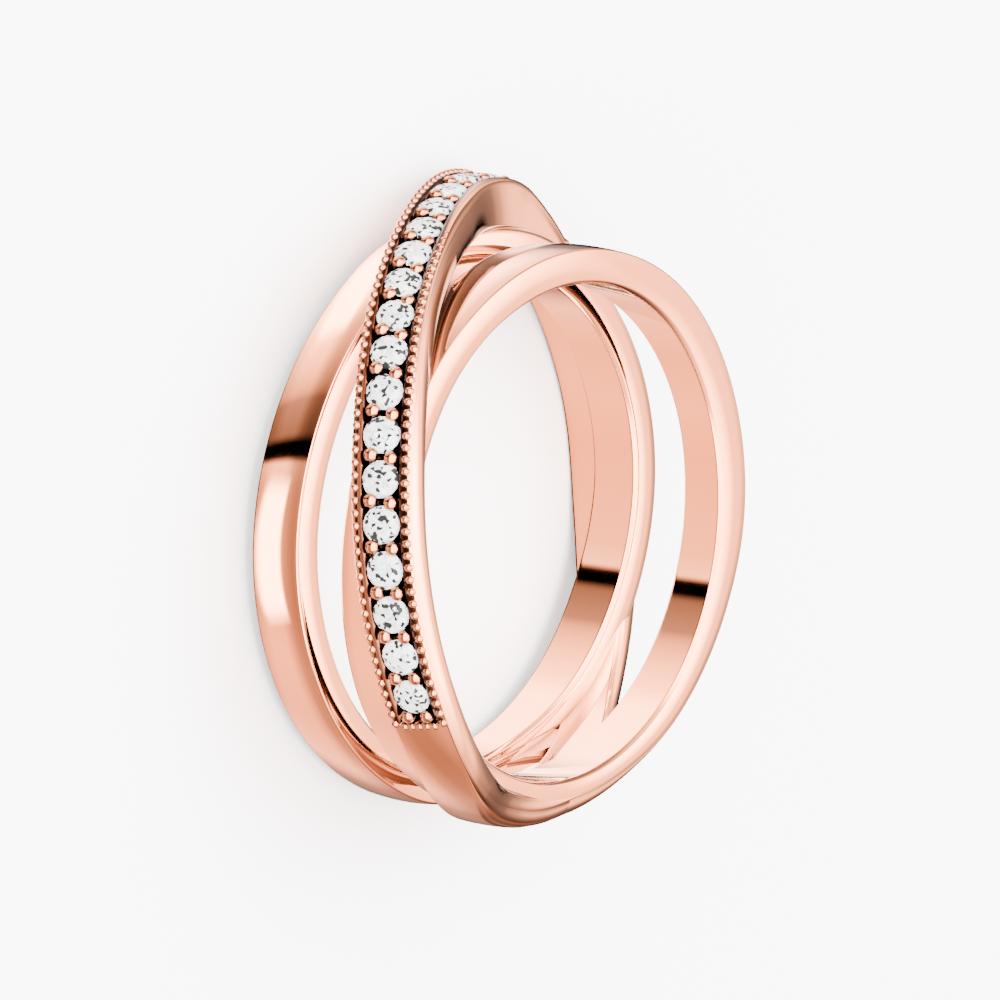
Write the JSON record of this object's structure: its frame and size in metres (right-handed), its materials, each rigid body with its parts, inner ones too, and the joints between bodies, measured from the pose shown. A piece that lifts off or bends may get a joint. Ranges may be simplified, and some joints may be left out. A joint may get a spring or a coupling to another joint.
{
  "type": "crossover triple band ring",
  "caption": "Polished rose gold finger ring of slim crossing bands; the band on top carries a row of small clear round stones between beaded edges.",
  "frame": {"origin": "on the axis of the finger hole, midway between the plain turns of the ring", "axes": "+Z along the axis of the finger hole, up as the ring lies on its side; -Y towards the middle of the stone row"},
  "size_m": [0.0219, 0.0221, 0.0085],
  "materials": {
    "rose_gold": "polished rose gold",
    "clear_stone": "clear cut stone"
  },
  "bodies": {
    "root": {"ring_bands": "rose_gold", "stone_01": "clear_stone", "stone_02": "clear_stone", "stone_03": "clear_stone", "stone_04": "clear_stone", "stone_05": "clear_stone", "stone_06": "clear_stone", "stone_07": "clear_stone", "stone_08": "clear_stone", "stone_09": "clear_stone", "stone_10": "clear_stone", "stone_11": "clear_stone", "stone_12": "clear_stone", "stone_13": "clear_stone", "stone_14": "clear_stone", "stone_15": "clear_stone", "stone_16": "clear_stone", "stone_17": "clear_stone"}
  },
  "joints": []
}
